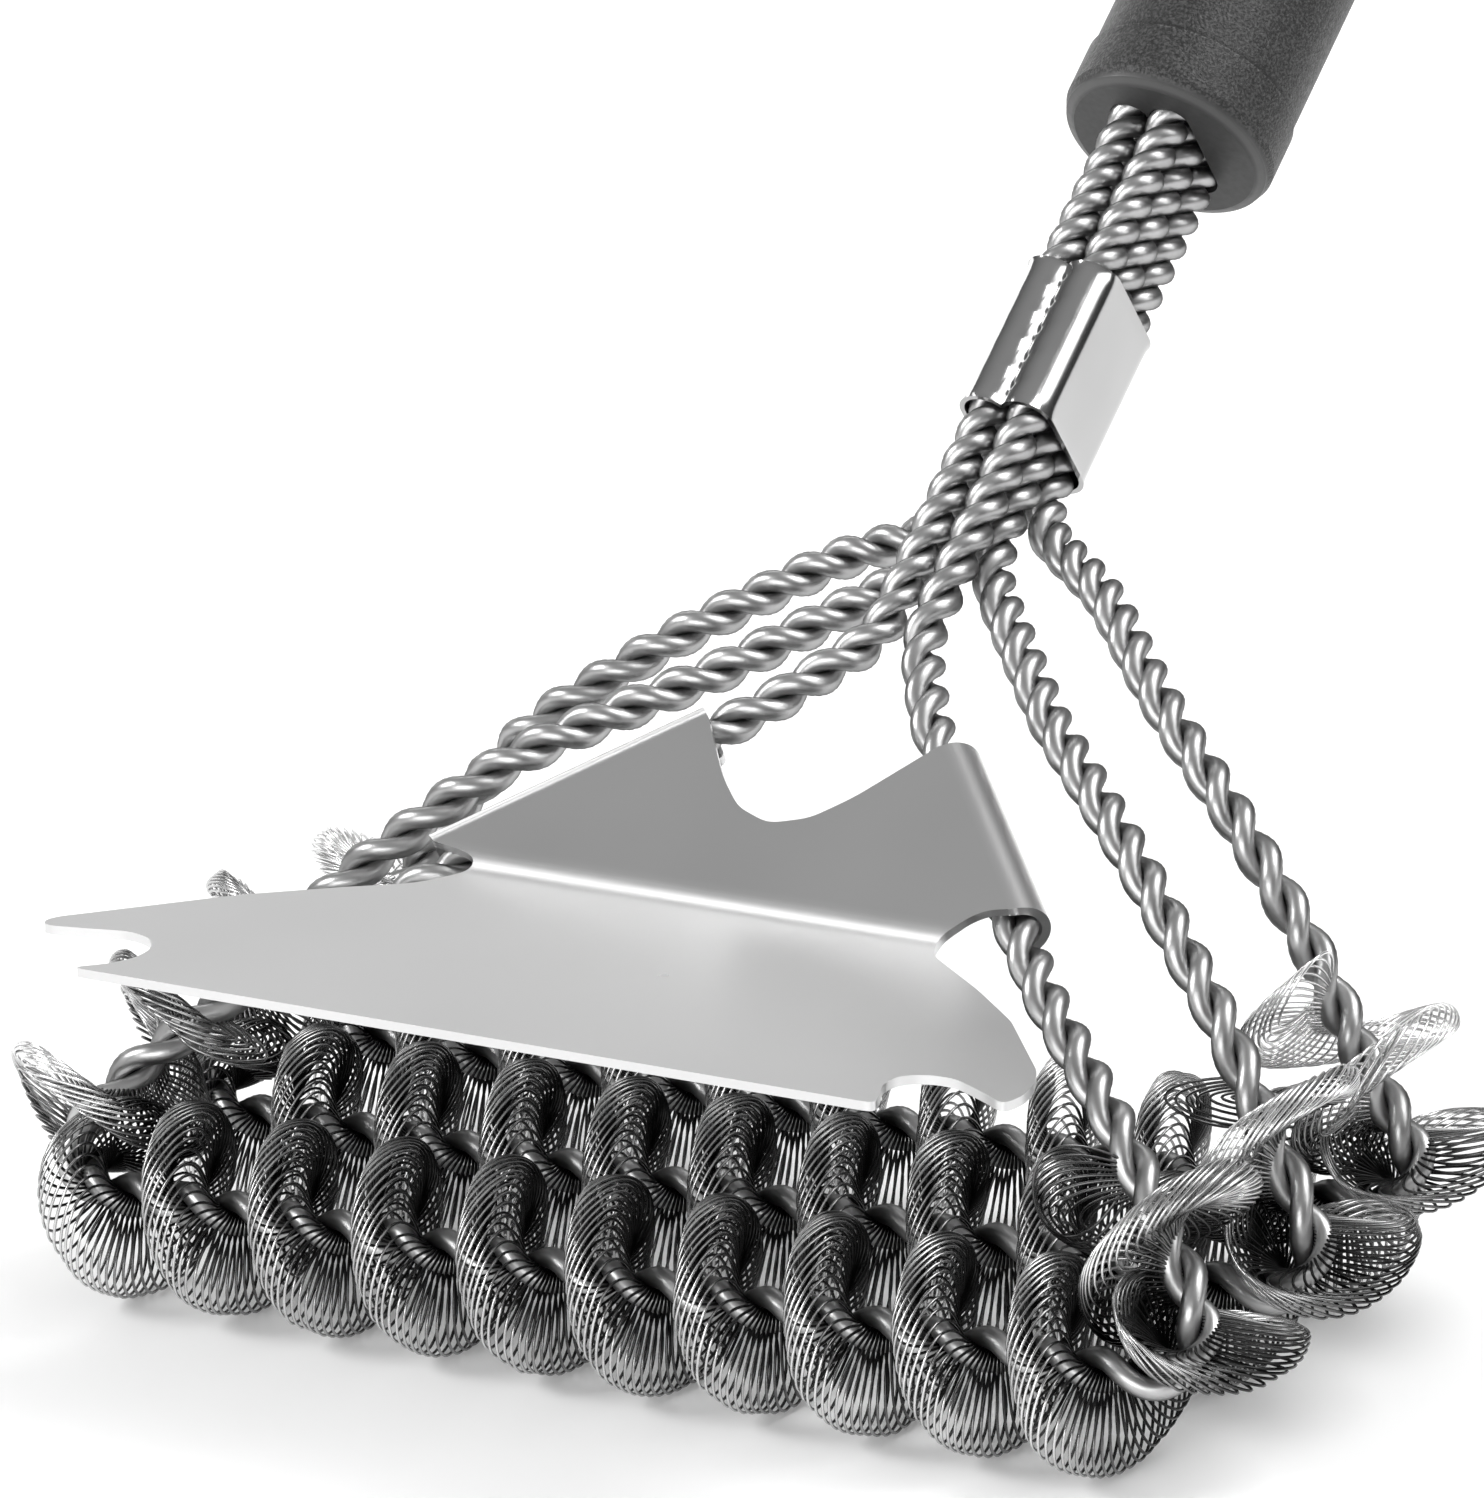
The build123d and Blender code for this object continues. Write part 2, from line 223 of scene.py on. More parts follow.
# Distances behind the handle's face, and the tones along them.
FACE_SPAN_MM = (-0.5, 1.5)
# The smooth face's own dark tone, with a painted highlight on its rounded rim.
FACE_TONES_WITH_PAINTED_RIM = ((0.0, 0.030), (0.30, 0.030), (0.40, 0.065), (0.52, 0.065), (0.7, 0.035))
FACE_TO_PEBBLES = ((0.7, 0.0), (1.0, 1.0))
SEAM_SPAN_MM = (8.5, 11.5)
# Painted light at the seam behind the collar: a painted highlight just before the seam, then a painted
# shadow in it.
PAINTED_SEAM_SHADOW_AND_HIGHLIGHT = (
    (0.0, 0.5), (0.24, 0.5), (0.28, 1.0), (0.33, 0.9), (0.36, 0.06), (0.52, 0.06), (0.66, 0.5),
)
PEBBLE_SIZE_MM = 0.42
PEBBLE_DEPTH_MM = 0.22
PEBBLE_TONES = ((0.42, 0.003), (0.66, 0.10))
PLASTIC_POLISH_SCALE = 900.0
PLASTIC_ROUGHNESS = ((0.3, 0.41), (0.7, 0.54))


def new_material(name):
    """A node material with its tree, its Principled shader and object coordinates."""
    material = bpy.data.materials.new(name)
    material.use_nodes = True
    tree = material.node_tree
    shader = tree.nodes["Principled BSDF"]
    coordinates = tree.nodes.new("ShaderNodeTexCoord")
    return material, tree, shader, coordinates.outputs["Object"]


def noise(tree, vector, scale, detail=3.0, roughness=0.55):
    """A noise texture's value output, in object space."""
    node = tree.nodes.new("ShaderNodeTexNoise")
    node.inputs["Scale"].default_value = scale
    node.inputs["Detail"].default_value = detail
    node.inputs["Roughness"].default_value = roughness
    tree.links.new(vector, node.inputs["Vector"])
    return node.outputs["Fac"]


def ramped(tree, value, stops):
    """A ramp of greys over a value."""
    ramp = tree.nodes.new("ShaderNodeValToRGB")
    while len(ramp.color_ramp.elements) < len(stops):
        ramp.color_ramp.elements.new(0.5)
    for element, (position, grey) in zip(ramp.color_ramp.elements, stops):
        element.position = position
        element.color = (grey, grey, grey, 1.0)
    tree.links.new(value, ramp.inputs["Fac"])
    return ramp.outputs["Color"]


def spanned(tree, value, start, end):
    """A value as its share of the way from start to end, from 0 to 1."""
    span = tree.nodes.new("ShaderNodeMapRange")
    span.inputs["From Min"].default_value = start
    span.inputs["From Max"].default_value = end
    tree.links.new(value, span.inputs["Value"])
    return span.outputs[0]


def multiplied(tree, first, second):
    """Two tones multiplied."""
    mix = tree.nodes.new("ShaderNodeMix")
    mix.data_type = "RGBA"
    mix.blend_type = "MULTIPLY"
    mix.inputs["Factor"].default_value = 1.0
    tree.links.new(first, mix.inputs["A"])
    tree.links.new(second, mix.inputs["B"])
    return mix.outputs["Result"]


def bumped(tree, shader, height, strength, distance):
    """A bump from a height value."""
    bump = tree.nodes.new("ShaderNodeBump")
    bump.inputs["Strength"].default_value = strength
    bump.inputs["Distance"].default_value = distance
    tree.links.new(height, bump.inputs["Height"])
    tree.links.new(bump.outputs[0], shader.inputs["Normal"])


def floor_material():
    """Matte, almost white."""
    material, tree, shader, vector = new_material("pale_floor")
    tone = ramped(tree, noise(tree, vector, FLOOR_NOISE), FLOOR_TONES)
    tree.links.new(tone, shader.inputs["Base Color"])
    shader.inputs["Roughness"].default_value = FLOOR_ROUGHNESS
    shader.inputs["Emission Color"].default_value = (1.0, 1.0, 1.0, 1.0)
    shader.inputs["Emission Strength"].default_value = FLOOR_GLOW
    return material


def steel(name, tones, roughness, scale, bump_distance=0.0, edge=1.0):
    """Drawn or rolled steel: its tone and polish wander a little, with a fine grain. edge is the tint of
    its glancing reflections."""
    material, tree, shader, vector = new_material(name)
    shader.inputs["Metallic"].default_value = 1.0
    shader.inputs["Specular Tint"].default_value = (edge, edge, edge, 1.0)
    tone = ramped(tree, noise(tree, vector, scale, detail=1.0), tuple(zip(WANDER_STOPS, tones)))
    tree.links.new(tone, shader.inputs["Base Color"])
    wander = noise(tree, vector, scale * POLISH_SCALE, detail=1.0)
    polish = ramped(tree, wander, tuple(zip(WANDER_STOPS, roughness)))
    tree.links.new(polish, shader.inputs["Roughness"])
    if bump_distance > 0:
        grain = noise(tree, vector, scale * BUMP_SCALE, detail=4.0)
        bumped(tree, shader, grain, BUMP_STRENGTH, bump_distance)
    return material


def coil_wire_steel(row):
    """The fine wire's steel with painted shade: painted dark by the stiff wires, lowest down, near the
    rings' tops and on the front and middle rows' sides that face the next row; bright at the rings' rims.
    """
    material, tree, shader, vector = new_material(f"{row}_coil_steel")
    shader.inputs["Metallic"].default_value = 1.0
    mapping = tree.nodes.new("ShaderNodeMapping")
    axis = place((0.0, ROWS.index(row) * ROW_SPACING_MM, COIL_R_MM))
    mapping.vector_type = "POINT"
    mapping.inputs["Location"].default_value = (0.0, -axis[1], -axis[2])
    mapping.inputs["Scale"].default_value = (0.0, 1.0, 1.0)
    tree.links.new(vector, mapping.inputs["Vector"])
    length = tree.nodes.new("ShaderNodeVectorMath")
    length.operation = "LENGTH"
    tree.links.new(mapping.outputs[0], length.inputs[0])
    share = spanned(tree, length.outputs["Value"], 0.0, COIL_R_MM * MM)
    # Painted shade: the wire is darker the nearer it lies to the coil's axis, inside the rings.
    depth = ramped(tree, share, PAINTED_SHADE_CORE_TO_RIM)
    tone = ramped(tree, noise(tree, vector, COIL_GRAIN), COIL_GRAIN_TONES)
    separate = tree.nodes.new("ShaderNodeSeparateXYZ")
    tree.links.new(vector, separate.inputs[0])
    height = spanned(tree, separate.outputs["Z"], 0.0, COIL_TOP_RADII * COIL_R_MM * MM)
    # Painted shade by height above the floor.
    height_shade = ramped(tree, height, PAINTED_SHADE_LOW_TO_HIGH)
    tone = multiplied(tree, multiplied(tree, depth, tone), height_shade)
    # Painted shade on the side that faces the next row, away from the corners.
    if row != "back":
        start, end = (axis[1] + distance * MM for distance in BEHIND_SPAN_MM)
        behind = spanned(tree, separate.outputs["Y"], start, end)
        along = tree.nodes.new("ShaderNodeMath")
        along.operation = "ABSOLUTE"
        tree.links.new(separate.outputs["X"], along.inputs[0])
        start, end = ((CORNER_X_MM - distance) * MM for distance in INSIDE_SPAN_MM)
        inside = spanned(tree, along.outputs[0], start, end)
        painted_shade_mask = multiplied(tree, behind, inside)
        tone = multiplied(tree, tone, ramped(tree, painted_shade_mask, PAINTED_SHADE_FRONT_TO_BACK))
    tree.links.new(tone, shader.inputs["Base Color"])
    shader.inputs["Roughness"].default_value = COIL_ROUGHNESS
    return material


def pebbled_plastic(name):
    """The handle's moulded black plastic: a fine pebble grain, paler on the pebbles' tops, a smooth
    front face with a painted highlight on its rim, and a painted shadow in the seam behind the collar,
    with a painted highlight on the collar's edge."""
    material, tree, shader, vector = new_material(name)
    grain = noise(tree, vector, 1.0 / (PEBBLE_SIZE_MM * MM), detail=2.0, roughness=0.6)
    tone = ramped(tree, grain, PEBBLE_TONES)
    behind = tree.nodes.new("ShaderNodeVectorMath")
    behind.operation = "DOT_PRODUCT"
    behind.inputs[1].default_value = tuple(AXIS)
    tree.links.new(vector, behind.inputs[0])
    face = float(FACE @ AXIS)
    spans = [
        spanned(tree, behind.outputs["Value"], face + start * MM, face + end * MM)
        for start, end in (FACE_SPAN_MM, SEAM_SPAN_MM)
    ]
    mask = ramped(tree, spans[0], FACE_TO_PEBBLES)
    mix = tree.nodes.new("ShaderNodeMix")
    mix.data_type = "RGBA"
    tree.links.new(mask, mix.inputs["Factor"])
    # The face's tone, with its painted rim highlight.
    tree.links.new(ramped(tree, spans[0], FACE_TONES_WITH_PAINTED_RIM), mix.inputs["A"])
    # The pebbles times the seam's painted highlight and painted shadow.
    tree.links.new(multiplied(tree, tone, ramped(tree, spans[1], PAINTED_SEAM_SHADOW_AND_HIGHLIGHT)), mix.inputs["B"])
    tree.links.new(mix.outputs["Result"], shader.inputs["Base Color"])
    polish = ramped(tree, noise(tree, vector, PLASTIC_POLISH_SCALE), PLASTIC_ROUGHNESS)
    tree.links.new(polish, shader.inputs["Roughness"])
    bumped(tree, shader, multiplied(tree, grain, mask), 1.0, PEBBLE_DEPTH_MM * MM)
    return material


# ---- mesh helpers -------------------------------------------------------------------------
def finish_piece(name, vertices, faces, material, replaced):
    """A smooth mesh object from vertices and faces, with its material, body, slot and replaced node."""
    mesh = bpy.data.meshes.new(name)
    mesh.from_pydata(vertices, [], faces)
    mesh.validate()
    mesh.polygons.foreach_set("use_smooth", [True] * len(mesh.polygons))
    mesh.update()
    piece = bpy.data.objects.new(name, mesh)
    bpy.context.collection.objects.link(piece)
    mesh.materials.append(material)
    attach(piece, BODY)
    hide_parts(*replaced)
    return piece


def unit(vectors):
    """Each vector at length one."""
    return vectors / np.linalg.norm(vectors, axis=-1, keepdims=True)


def tube(points, side, radius, sides):
    """A closed-ended tube's vertices and faces. side is a direction square to the line at each point."""
    tangent = unit(np.gradient(points, axis=0))
    first = unit(side - tangent * np.sum(side * tangent, axis=1, keepdims=True))
    second = np.cross(tangent, first)
    angles = np.arange(sides) * 2 * math.pi / sides
    rings = (
        points[:, None, :]
        + radius * np.cos(angles)[None, :, None] * first[:, None, :]
        + radius * np.sin(angles)[None, :, None] * second[:, None, :]
    )
    count = len(points)
    start = np.arange(count - 1)[:, None] * sides
    here = np.arange(sides)[None, :]
    after = (here + 1) % sides
    quads = np.stack([start + here, start + after, start + sides + after, start + sides + here], -1)
    faces = quads.reshape(-1, 4).tolist()
    faces.append(list(range(sides))[::-1])
    faces.append([(count - 1) * sides + index for index in range(sides)])
    return rings.reshape(-1, 3), faces


# ---- the loops' centre lines --------------------------------------------------------------
def filleted(points, radii, step):
    """A polyline whose inner corners are arcs, as points about a step apart."""
    points = [np.asarray(point, float) for point in points]
    line = [points[0]]
    for before, corner, after, radius in zip(points[:-2], points[1:-1], points[2:], radii):
        into = unit(corner - before)
        out = unit(after - corner)
        turn = math.acos(np.clip(into @ out, -1, 1))
        reach = radius * math.tan(turn / 2)
        first = corner - into * reach
        inward = unit(out - into)
        center = corner + inward * radius / math.cos(turn / 2)
        spoke = first - center
        steps = max(2, int(radius * turn / step))
        for index in range(steps + 1):
            angle = turn * index / steps
            line.append(center + spoke * math.cos(angle) + into * radius * math.sin(angle))
    line.append(points[-1])
    return np.array(line)


def lengths_along(line):
    """The distance of each point from the line's start."""
    return np.concatenate([[0], np.cumsum(np.linalg.norm(np.diff(line, axis=0), axis=1))])


def points_at(line, wanted):
    """The line's points at the wanted distances along it."""
    lengths = lengths_along(line)
    return np.stack([np.interp(wanted, lengths, column) for column in line.T], 1)


def evenly(line, step):
    """The same line as evenly spaced points."""
    length = lengths_along(line)[-1]
    return points_at(line, np.linspace(0, length, int(length / step) + 1))


def softened(line, reach):
    """The line with its joints between runs and arcs eased, its ends held."""
    window = np.hanning(2 * reach + 3)
    window = window / window.sum()
    padded = np.concatenate(
        [2 * line[0] - line[reach + 1 : 0 : -1], line, 2 * line[-1] - line[-2 : -reach - 3 : -1]]
    )
    return np.stack([np.convolve(padded[:, axis], window, "valid") for axis in range(3)], 1)


SOFTEN_STEPS = 6
# Half the twist's pitch along a loop: by distance from the row's middle, then from the loop's end.
TWIST_ROW_MM = 82
TWIST_CORNER_MM = (88, 106)
TWIST_AFTER_COIL_MM = (2, 10)
TWIST_FROM_END_MM = (160, 118, 60, 0)
STEM_HALF_PITCH_MM = 7.2
UPPER_HALF_PITCHES_MM = (6.4, 4.9, 4.2, 4.2)


class Rope:
    """One loop's centre line, with a turning frame and its twist along it. Millimetres."""

    STEP = 0.4

    def __init__(self, row):
        index = ROWS.index(row)
        column = ROPE_STEP_MM / 2
        depth = ROPE_STEP_MM * (1 - index)
        top = self.design(on_shaft(column, ROPE_DEPTH_MM, depth))
        leave = self.design(on_shaft(column, LEAVE_SHAFT[row], depth))
        corner = (CORNER_X_MM, index * ROW_SPACING_MM, COIL_R_MM)
        right = [corner, *reversed(STEM_POINTS[row]), leave, top]
        left = [(-x, y, z) for x, y, z in reversed(right)]
        radii = [CORNER_BEND_MM, *reversed(STEM_RADII[row]), LEAVE_RADIUS[row]]
        line = filleted([*left, *right], [*reversed(radii), *radii], self.STEP)
        line = evenly(line, self.STEP)
        self.line = softened(line, SOFTEN_STEPS)
        self.corner_pitch = CORNER_HALF_PITCH_MM[row]
        self.along = lengths_along(self.line)
        self.along -= self.along[-1] / 2
        self.tangent = unit(np.gradient(self.line, axis=0))
        self.make_frame()
        self.twist = self.make_twist()

    @staticmethod
    def design(point):
        """A frame point back in design millimetres."""
        return tuple((np.asarray(point) - np.array([0.0, FRONT_ROW_Y, 0.0])) / MM)

    def make_frame(self):
        """Carries a frame along the line without turning it, from the row's middle both ways."""
        count = len(self.line)
        middle = count // 2
        first = np.zeros((count, 3))
        first[middle] = (0, 1, 0)
        for order in (range(middle + 1, count), range(middle - 1, -1, -1)):
            last = first[middle]
            for index in order:
                tangent = self.tangent[index]
                last = last - tangent * (last @ tangent)
                last = last / math.sqrt(last @ last)
                first[index] = last
        self.first = first
        self.second = np.cross(self.tangent, first)

    def half_pitch(self):
        """Half the twist's pitch: long through the coil, tight up the stems and in the shaft."""
        half = RING_PITCH_MM / 2
        after_coil = [COIL_END_MM + distance for distance in TWIST_AFTER_COIL_MM]
        up = [self.along[-1] - distance for distance in TWIST_FROM_END_MM]
        places = [0, TWIST_ROW_MM, *TWIST_CORNER_MM, *after_coil, *up]
        pitches = [half, half, self.corner_pitch, self.corner_pitch, half, STEM_HALF_PITCH_MM]
        return np.interp(np.abs(self.along), places, [*pitches, *UPPER_HALF_PITCHES_MM])

    def make_twist(self):
        """The twist's angle along the line: at the row's middle the inner wire is on top."""
        rate = math.pi / self.half_pitch()
        steps = np.diff(self.along)
        angle = np.concatenate([[0], np.cumsum((rate[1:] + rate[:-1]) / 2 * steps)])
        return angle - np.interp(0, self.along, angle) + math.pi / 2

    def at(self, along):
        """Centre, first, second and tangent directions and twist at these distances along."""
        values = []
        for field in (self.line, self.first, self.second, self.tangent):
            columns = [np.interp(along, self.along, column) for column in field.T]
            values.append(np.stack(columns, -1))
        values.append(np.interp(along, self.along, self.twist))
        return values


# ---- ropes and coils ----------------------------------------------------------------------
ROPE_WIRE_SIDES = 14
COIL_END_MM = 112.0
COIL_WIRE_R_MM = 0.21
COIL_WIRE_SIDES = 5
COIL_INSET_MM = 0.1  # how far the fine wire stays inside the CAD coil's outside
LOOP_PITCH_MM = 0.40
LOOP_POINTS = 36
LOBE_WIDTH_MM = 8.3
LOBE_POWER = 0.45  # puts the lobe's widest part further out
LOBE_SAMPLES = 300
# How far the turns lean along the rope in the row, how far past its ends, and where that changes.
ROW_TILT = math.radians(13)
FAN_TILT = math.radians(-30)
TILT_CHANGE_MM = (78, 90)
# The turns' unevenness: how many turns each random value lasts, and how far it goes.
WANDER_TURNS = (3, 4, 2, 2)
REACH_WANDER = 0.02
WIDTH_WANDER = 0.04
TWIST_WANDER = 0.02
LEAN_WANDER_MM = 0.15
FIRST_COIL_SEED = 11


def add_ropes(rope, row, material):
    """The two twisted wires of one loop."""
    for letter, phase in (("a", 0.0), ("b", math.pi)):
        angle = rope.twist + phase
        outward = np.cos(angle)[:, None] * rope.first + np.sin(angle)[:, None] * rope.second
        points = rope.line + outward * WIRE_R_MM
        vertices, faces = tube(points, outward, WIRE_R_MM, ROPE_WIRE_SIDES)
        name = f"{row}_twisted_wire_{letter}"
        finish_piece(name, place(vertices), faces, material, [f"{row}_loop_wire_{letter}"])


def one_turn():
    """One turn of the fine wire as (outward, sideways) points: tight round the inner stiff wire, then
    out into a wide round lobe and back."""
    wrap_r = WIRE_R_MM + COIL_WIRE_R_MM
    reach = COIL_R_MM - COIL_WIRE_R_MM - COIL_INSET_MM
    turn = np.linspace(0, math.pi, LOBE_SAMPLES)
    outward = reach * (1 - np.cos(turn)) / 2
    lobe = LOBE_WIDTH_MM * np.sin(turn) * (outward / reach) ** LOBE_POWER
    wrap = np.sqrt(np.clip(wrap_r**2 - (outward - wrap_r) ** 2, 0, None))
    side = np.stack([outward, np.maximum(lobe, wrap)], 1)
    whole = np.concatenate([side, side[::-1] * (1, -1)])
    return points_at(whole, np.linspace(0, lengths_along(whole)[-1], LOOP_POINTS + 1)[:-1])


def add_coil(rope, row, material, seed):
    """One row's fine wire. Each turn is clamped between the stiff wires, round the inner one, so the
    turns fan out on that wire's side and sweep round with the twist as one plump ring per turn."""
    rng = np.random.default_rng(seed)
    loops = int(2 * COIL_END_MM / LOOP_PITCH_MM)
    count = loops * LOOP_POINTS
    shape = one_turn()
    along = np.linspace(-COIL_END_MM, COIL_END_MM, count)
    samples = np.arange(count)
    wander = []
    for turns in WANDER_TURNS:
        knots = np.linspace(0, count - 1, loops // turns)
        wander.append(np.interp(samples, knots, rng.normal(0, 1, len(knots))))
    across = np.tile(shape[:, 0], loops) * (1 - REACH_WANDER * np.abs(wander[0]))
    thick = np.tile(shape[:, 1], loops) * (1 + WIDTH_WANDER * wander[1])
    share = across / COIL_R_MM
    center, first, second, tangent, twist = rope.at(along)
    twist = twist + TWIST_WANDER * wander[2]
    cosine = np.cos(twist)[:, None]
    sine = np.sin(twist)[:, None]
    outward = cosine * first + sine * second
    sideways = cosine * second - sine * first
    tilt = np.interp(np.abs(along), TILT_CHANGE_MM, (ROW_TILT, FAN_TILT))[:, None]
    sideways = sideways * np.cos(tilt) - tangent * np.sin(tilt)
    offset = outward * across[:, None] + sideways * thick[:, None]
    offset += tangent * (LEAN_WANDER_MM * wander[3] * share)[:, None]
    points = center + offset
    vertices, faces = tube(points, tangent, COIL_WIRE_R_MM, COIL_WIRE_SIDES)
    finish_piece(f"{row}_wire_coil", place(vertices), faces, material, [f"{row}_coil"])


# ---- ferrule ------------------------------------------------------------------------------
FERRULE_TOP_MM = -27.0
FERRULE_LENGTH_MM = 24.0
FERRULE_STANDS_OFF_MM = 0.85  # the sleeve's outside, from the ropes it wraps
FERRULE_R_MM = 2 * WIRE_R_MM + FERRULE_STANDS_OFF_MM
FERRULE_WALL_MM = 0.7
FERRULE_STATIONS = 97
FERRULE_FLARE_MM = 0.25
FLARE_REACH_MM = 0.8
CORNER_STEPS = 28
BUMP_MM = 0.17
MEAN_PRESS = 0.7  # taken off, so that the sleeve's mean radius hardly changes
BUMPS_FROM = math.pi / 3  # round each corner rope, towards the crease
SHARP_ANGLE = math.radians(50)


def strand_bearing(rope, side, along):
    """Where a rope's first wire lies round the rope, across the shaft, at each distance up the shaft."""
    distance = side * (rope.along[-1] - (ROPE_DEPTH_MM - along))
    _, first, second, _, twist = rope.at(distance)
    direction = np.cos(twist)[:, None] * first + np.sin(twist)[:, None] * second
    return np.arctan2(direction @ NORMAL, direction @ RIGHT)


def sleeve_section(bearings, swell):
    """The sleeve's outline: round the four corner ropes, flat down both sides, creased in the middle of
    its front and back. bearings holds each corner rope's strand bearing."""
    points = []
    corners = ((1, 1), (-1, 1), (-1, -1), (1, -1))
    inner = math.acos(ROPE_STEP_MM / 2 / FERRULE_R_MM)
    for (side, front), bearing in zip(corners, bearings):
        end = math.pi - inner
        for angle in np.linspace(0, end, CORNER_STEPS):
            facing = math.atan2(front * math.sin(angle), side * math.cos(angle))
            press = abs(math.cos(bearing - facing))
            near_crease = max(0.0, (angle - BUMPS_FROM) / (end - BUMPS_FROM))
            radius = FERRULE_R_MM + swell + BUMP_MM * (press - MEAN_PRESS) * near_crease
            x = side * (ROPE_STEP_MM / 2 + radius * math.cos(angle))
            depth = front * (ROPE_STEP_MM + radius * math.sin(angle))
            points.append((x, depth))
        if side * front < 0:
            points[-CORNER_STEPS:] = points[: -CORNER_STEPS - 1 : -1]
    return np.array(points)


def add_ferrule(ropes, material):
    """The sheet sleeve crimped round the six ropes, with the strands' bumps pressed through it."""
    bottom = FERRULE_TOP_MM - FERRULE_LENGTH_MM
    stations = np.linspace(bottom, FERRULE_TOP_MM, FERRULE_STATIONS)
    corners = (("front", 1), ("front", -1), ("back", -1), ("back", 1))
    bearings = [strand_bearing(ropes[row], side, stations) for row, side in corners]
    outer = []
    inner = []
    for index, along in enumerate(stations):
        from_end = min(along - stations[0], stations[-1] - along)
        flare = FERRULE_FLARE_MM * math.exp(-from_end / FLARE_REACH_MM)
        here = [bearing[index] for bearing in bearings]
        for rings, swell in ((outer, flare), (inner, flare - FERRULE_WALL_MM)):
            ring = sleeve_section(here, swell)
            rings.append([on_shaft(x, along, depth) for x, depth in ring])
    rings = np.array([*outer, *inner[::-1]])
    count, width = rings.shape[:2]
    vertices = rings.reshape(-1, 3)
    faces = []
    for ring in range(count):
        here = ring * width
        after = (ring + 1) % count * width
        for column in range(width):
            beside = (column + 1) % width
            faces.append((here + column, here + beside, after + beside, after + column))
    piece = finish_piece("crimped_ferrule", vertices, faces, material, ["ferrule"])
    piece.data.set_sharp_from_angle(angle=SHARP_ANGLE)


# ---- scraper ------------------------------------------------------------------------------
SHEET_T_MM = 1.2
BLADE_FRONT_YZ = (-31.0, 57.8)
BEND_YZ = (31.0, 53.7)
BEND_R_MM = 13.0
CURL_GAP_MM = 0.2
CURL_R_MM = 2 * WIRE_R_MM + CURL_GAP_MM + SHEET_T_MM / 2
CURL_ARC_MM = 12.6
EAR_LOW_MM = {1: 13.0, -1: 6.5}
EAR_TOP_MM = 46.0
EAR_OPEN = {1: (0.0, 0.0), -1: (2.2, -1.5)}  # how far each fold stands off its stem, low and at the top
EDGE_BEVEL_MM = 0.22
OUTLINE_STEP_MM = 0.5
OUTLINE_SOFTEN_STEPS = 6
CUT_TOLERANCE = 1e-5
# Where the flat sheet is cut across so that it can bend: finely through the bend, then every few
# millimetres, and finely along each ear.
BEND_CUTS_MM = (-4.2, 4.3, 0.5)
SHEET_CUTS_MM = (-56, 34, 6.0)
EAR_CUTS_MM = (0.01, CURL_ARC_MM, 0.45)
# The flat pattern's outline, x and the distance past the bend, in keys 1 for the right half and -1 for
# the left, mirrored: from the blade's front corner back along its side to the waist, and from the
# ear's top down into the notch.
BLADE_SIDE = [(69.9, -41.7), (64.2, -34.5), (57.1, -25.5), (47.1, -16.2), (40.3, -10.6)]
WAIST = {
    1: [(35.2, -6.4), (33.1, -2.8), (32.4, 0.8), (34.4, 4.4), (37.0, 6.4)],
    -1: [(38.6, -7.4), (37.2, -4.0), (36.8, -1.0), (38.0, 1.4), (41.2, 2.4)],
}
NOTCH = [(14.4, 26.9), (9.8, 20.7), (5.4, 16.3), (0.0, 14.4)]
# The bays cut in the blade's ends to fit over a grate's rods.
BAY = {
    1: [
        (58.9, -62.1), (57.6, -58.6), (55.8, -55), (56, -51.2), (58.9, -49.2), (62.6, -49),
        (68.5, -52.3),
    ],
    -1: [
        (58.4, -62.1), (55, -58.6), (53.4, -54.5), (53.9, -50.4), (56.4, -46.9), (60.5, -45.6),
        (66, -47.2),
    ],
}
TIP = {
    1: [(72.6, -55.0), (73.2, -51.5), (72.3, -46.8)],
    -1: [(71.8, -48.6), (73.0, -46.8), (72.4, -44.8)],
}


def plate_run():
    """The lower end of the stretch of front stem behind the plate, its upper end, and the direction up
    the plate."""
    top, low = (np.array(point, float) for point in STEM_POINTS["front"][:2])
    return low, top, unit(np.array([0, top[1] - low[1], top[2] - low[2]]))


def fold_line(side):
    """The line in the flat pattern over a front stem, as if on the right: a point on it, its direction
    up the stem and the direction outward from it."""
    low, top, plate_up = plate_run()
    lift = np.cross((1, 0, 0), plate_up) * CURL_R_MM
    bend = np.array([0, *BEND_YZ])
    ends = []
    for point in (low, top):
        ends.append(np.array([point[0], (point + lift - bend) @ plate_up]))
    up = unit(ends[1] - ends[0])
    out = np.array([up[1], -up[0]])
    ends = [end + out * shift for end, shift in zip(ends, EAR_OPEN[side])]
    up = unit(ends[1] - ends[0])
    return ends[0], up, np.array([up[1], -up[0]])


def flat_pattern():
    """The scraper's flat outline as a closed line of (x, past the bend) points."""
    halves = {}
    for side in (1, -1):
        origin, up, out = fold_line(side)
        low = origin + up * EAR_LOW_MM[side]
        top = origin + up * EAR_TOP_MM
        ear = [low, low + out * CURL_ARC_MM, top + out * CURL_ARC_MM, top]
        halves[side] = [*BAY[side], *TIP[side], *BLADE_SIDE, *WAIST[side], *ear, *NOTCH]
    right = halves[1]
    left = halves[-1][:-1]
    line = [*right, *[(-x, v) for x, v in reversed(left)]]
    closed = np.array([*line, line[0]])
    length = lengths_along(closed)[-1]
    even = points_at(closed, np.linspace(0, length, int(length / OUTLINE_STEP_MM), endpoint=False))
    window = np.hanning(2 * OUTLINE_SOFTEN_STEPS + 1)
    window = window / window.sum()
    padded = np.concatenate([even[-OUTLINE_SOFTEN_STEPS:], even, even[:OUTLINE_SOFTEN_STEPS]])
    return np.stack([np.convolve(padded[:, axis], window, "valid") for axis in range(2)], 1)


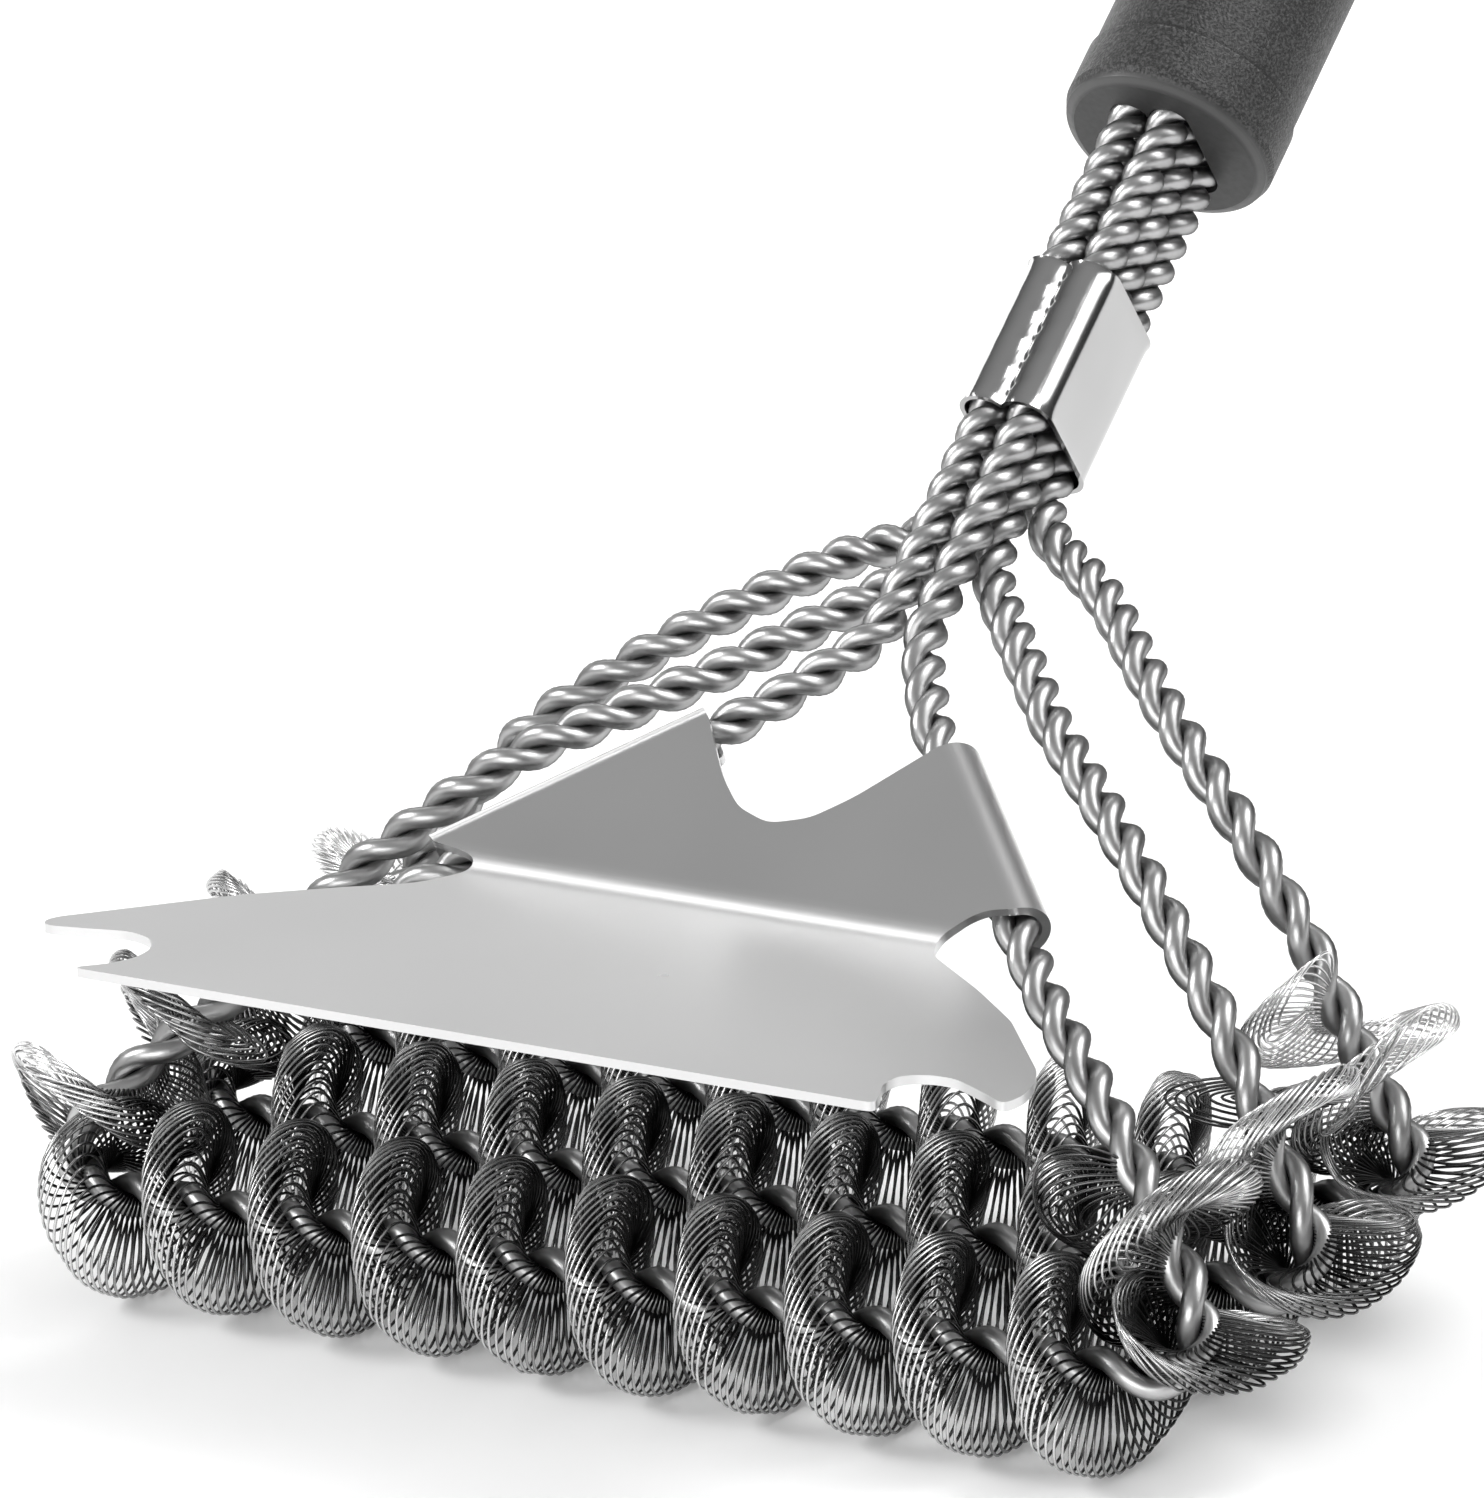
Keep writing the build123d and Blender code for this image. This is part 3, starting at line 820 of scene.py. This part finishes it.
def folded(x, v):
    """Where a flat-pattern point goes: along the blade, round the bend, up the plate, round the ears."""
    side = 1 if x > 0 else -1
    origin, _, out = fold_line(side)
    bend = np.array([0, *BEND_YZ])
    blade = unit(bend - np.array([0, *BLADE_FRONT_YZ]))
    plate = plate_run()[2]
    normal = np.cross((1, 0, 0), plate)
    beyond = (np.array([abs(x), v]) - origin) @ out
    if beyond > 0:
        foot = np.array([abs(x), v]) - out * beyond
        base = bend + np.array([foot[0], 0, 0]) + plate * foot[1]
        outward = np.array([out[0], 0, 0]) + plate * out[1]
        turn = beyond / CURL_R_MM
        spot = base - normal * CURL_R_MM * (1 - math.cos(turn)) + outward * CURL_R_MM * math.sin(turn)
        return np.array([side * spot[0], spot[1], spot[2]])
    angle = math.acos(np.clip(blade @ plate, -1, 1))
    reach = BEND_R_MM * math.tan(angle / 2)
    arc = BEND_R_MM * angle / 2
    if v <= -arc:
        spot = bend + blade * (v + arc - reach)
    elif v >= arc:
        spot = bend + plate * (v - arc + reach)
    else:
        turn = (v + arc) / BEND_R_MM
        rise = np.cross((1, 0, 0), blade)
        spot = bend - blade * reach + blade * BEND_R_MM * math.sin(turn)
        spot = spot + rise * BEND_R_MM * (1 - math.cos(turn))
    return np.array([x, spot[1], spot[2]])


def add_scraper(material):
    """The bent sheet with its ears curled round the front loop's stems."""
    outline = flat_pattern()
    flat = bmesh.new()
    flat.faces.new([flat.verts.new((x, v, 0)) for x, v in outline])
    across_sheet = [*np.arange(*BEND_CUTS_MM), *np.arange(*SHEET_CUTS_MM)]
    cuts = [((0, v, 0), (0, 1, 0)) for v in across_sheet]
    for side in (1, -1):
        origin, _, out = fold_line(side)
        for beyond in np.arange(*EAR_CUTS_MM):
            spot = origin + out * beyond
            cuts.append(((side * spot[0], spot[1], 0), (side * out[0], out[1], 0)))
    for spot, across in cuts:
        everything = [*flat.verts, *flat.edges, *flat.faces]
        bmesh.ops.bisect_plane(
            flat, geom=everything, dist=CUT_TOLERANCE, plane_co=spot, plane_no=across
        )
    for vertex in flat.verts:
        vertex.co = place(folded(vertex.co.x, vertex.co.y))
    mesh = bpy.data.meshes.new("folded_scraper")
    flat.to_mesh(mesh)
    flat.free()
    piece = bpy.data.objects.new("folded_scraper", mesh)
    bpy.context.collection.objects.link(piece)
    mesh.materials.append(material)
    mesh.polygons.foreach_set("use_smooth", [True] * len(mesh.polygons))
    thick = piece.modifiers.new("thickness", "SOLIDIFY")
    thick.thickness = SHEET_T_MM * MM
    thick.offset = 0
    edge = piece.modifiers.new("edge", "BEVEL")
    edge.width = EDGE_BEVEL_MM * MM
    edge.segments = 2
    edge.limit_method = "ANGLE"
    edge.angle_limit = SHARP_ANGLE
    edge.harden_normals = True
    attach(piece, BODY)
    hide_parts("scraper")


# ---- assembly -----------------------------------------------------------------------------
def assign(node, material):
    """Gives a CAD node a material in all its slots."""
    piece = frame["nodes"][node]
    if not piece.material_slots:
        piece.data.materials.append(material)
    for slot in piece.material_slots:
        slot.material = material


def build():
    """Every piece of the brush."""
    wire = steel(
        "loop_wire_steel", (0.36, 0.50), (0.32, 0.42), 260.0, bump_distance=0.04 * MM, edge=0.12
    )
    ropes = {row: Rope(row) for row in ROWS}
    for seed, row in enumerate(ROWS, FIRST_COIL_SEED):
        add_ropes(ropes[row], row, wire)
        add_coil(ropes[row], row, coil_wire_steel(row), seed)
    polished = steel(
        "polished_ferrule", (0.42, 0.48), (0.12, 0.17), 90.0, bump_distance=0.008 * MM
    )
    add_ferrule(ropes, polished)
    add_scraper(steel("satin_sheet", (0.60, 0.66), (0.27, 0.31), 22.0))
    plastic = pebbled_plastic("pebbled_plastic")
    for node in ("front_cap", "grip", "hang_cap", "rope_socket"):
        assign(node, plastic)


add_camera()
add_stage()
build()
